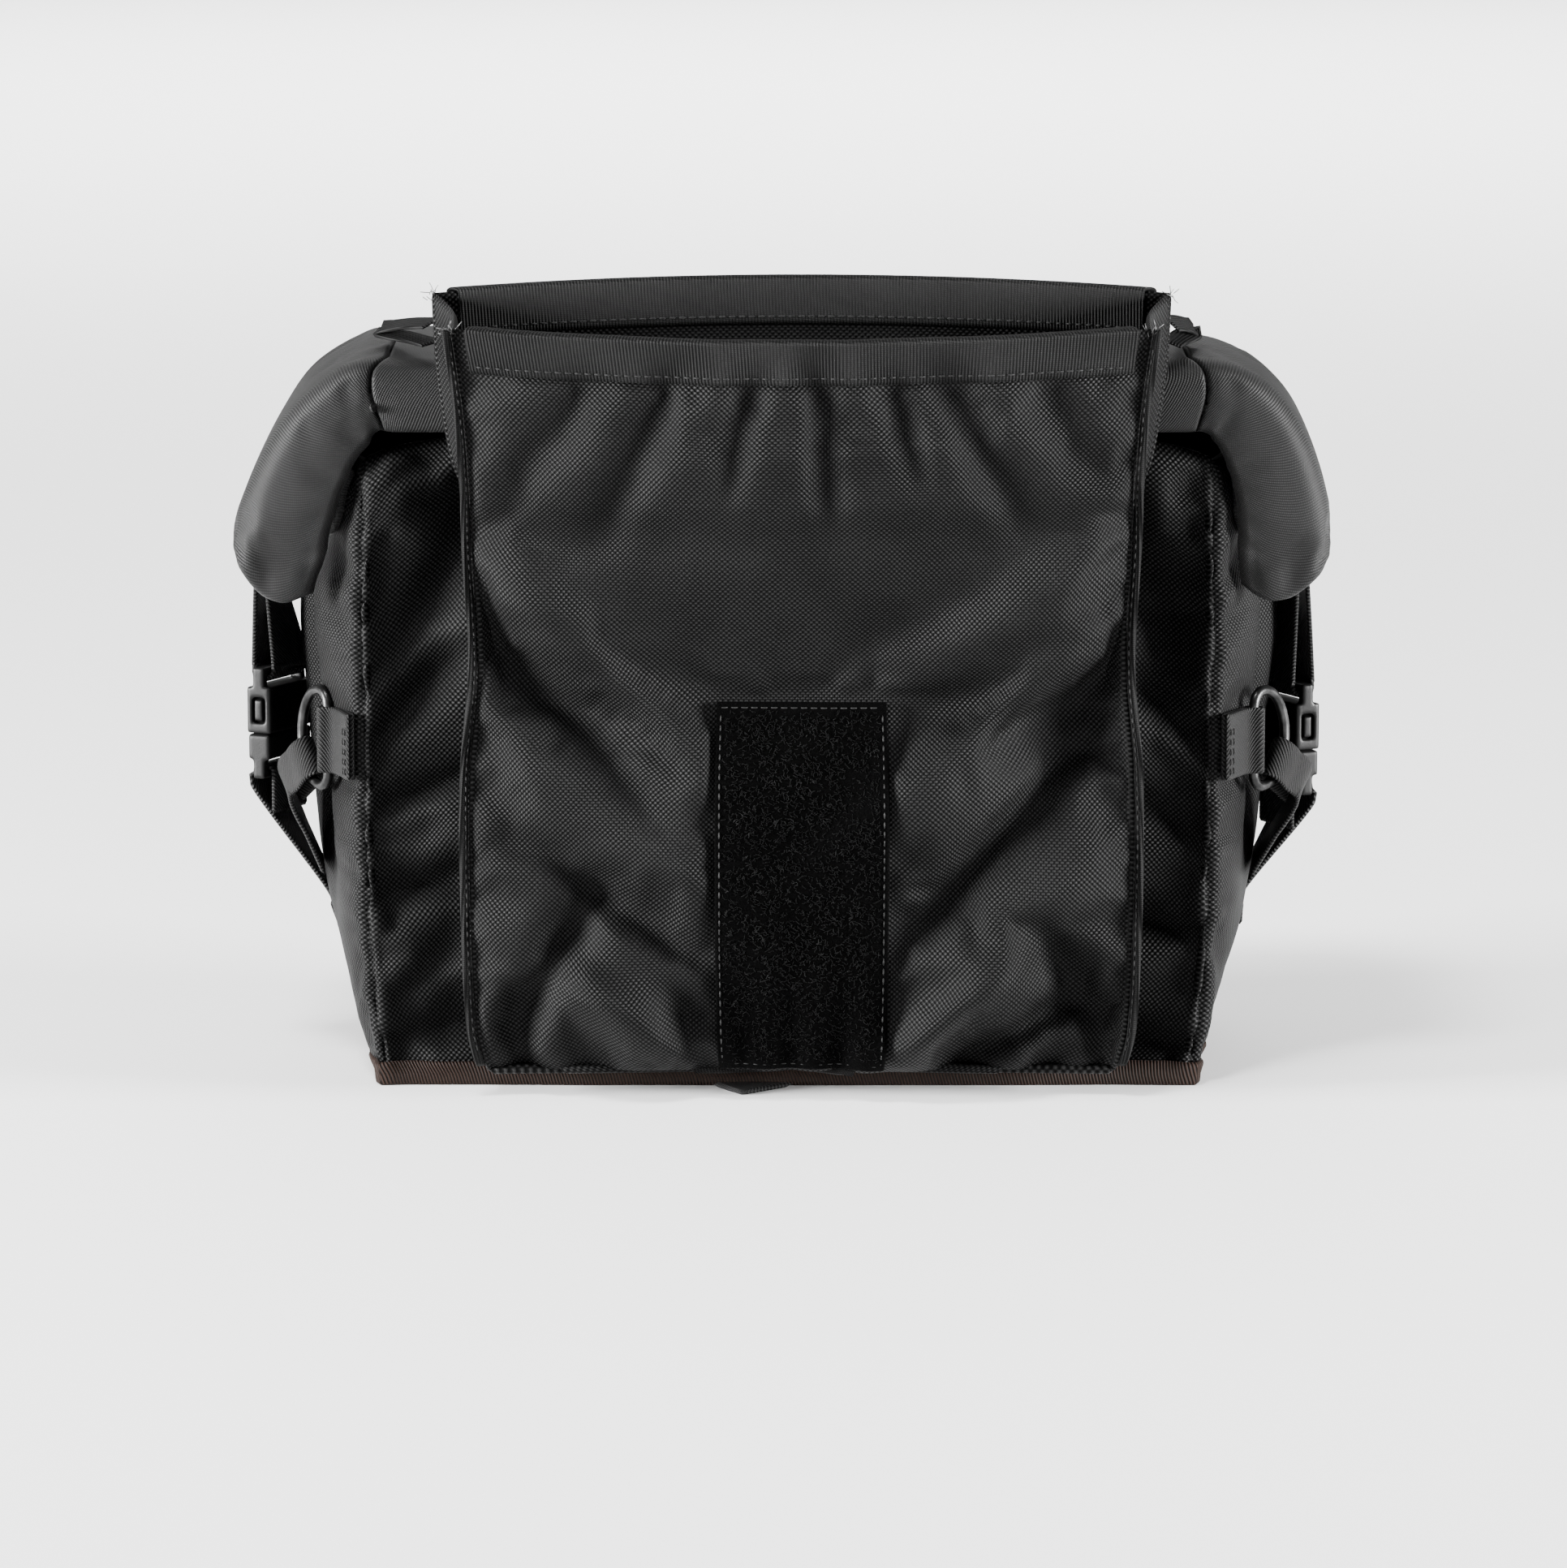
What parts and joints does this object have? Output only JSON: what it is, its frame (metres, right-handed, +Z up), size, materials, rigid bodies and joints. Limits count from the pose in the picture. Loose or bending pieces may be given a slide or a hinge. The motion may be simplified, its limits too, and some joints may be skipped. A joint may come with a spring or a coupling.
{
  "type": "bicycle handlebar bag",
  "caption": "Black soft bag with a stuffed box body, a padded lid with buckled wings and a tall open pouch on its front.",
  "frame": {"origin": "middle of the underside, on the surface that the bag stands on", "axes": "+Z up, -Y out of the front pouch, +X to the right as seen from the front"},
  "size_m": [0.3268, 0.2298, 0.2432],
  "materials": {
    "body_fabric": "charcoal diagonal weave, matte",
    "lid_fabric": "dark grey fine weave, matte",
    "rim_tape": "ribbed tape, matte",
    "base_tape": "dark brown ribbed tape, matte",
    "loop_tape": "near-black looped pile",
    "webbing": "ribbed webbing, slight sheen",
    "buckle": "moulded, semi-gloss",
    "ring": "dark, smooth"
  },
  "bodies": {
    "root": {"body_shell": "body_fabric", "base_panel": "body_fabric", "base_binding": "base_tape", "lid_centre": "lid_fabric", "lid_wing_left": "lid_fabric", "lid_wing_right": "lid_fabric", "side_flap_left": "lid_fabric", "side_flap_right": "lid_fabric", "pouch_shell": "body_fabric", "rim_binding_front": "rim_tape", "rim_binding_back": "rim_tape", "pouch_seam_left": "rim_tape", "pouch_seam_right": "rim_tape", "loop_patch": "loop_tape", "web_left": "rim_tape", "web_right": "rim_tape", "d_ring_left": "ring", "d_ring_right": "ring", "ring_tab_left": "webbing", "ring_tab_right": "webbing", "ring_strap_left": "webbing", "ring_strap_right": "webbing", "wing_strap_left": "webbing", "wing_strap_right": "webbing", "anchor_strap_left": "webbing", "anchor_strap_right": "webbing", "buckle_female_left": "buckle", "buckle_female_right": "buckle", "buckle_male_left": "buckle", "buckle_male_right": "buckle", "bar_strap_left": "webbing", "bar_strap_right": "webbing", "base_tab": "webbing"}
  },
  "joints": []
}
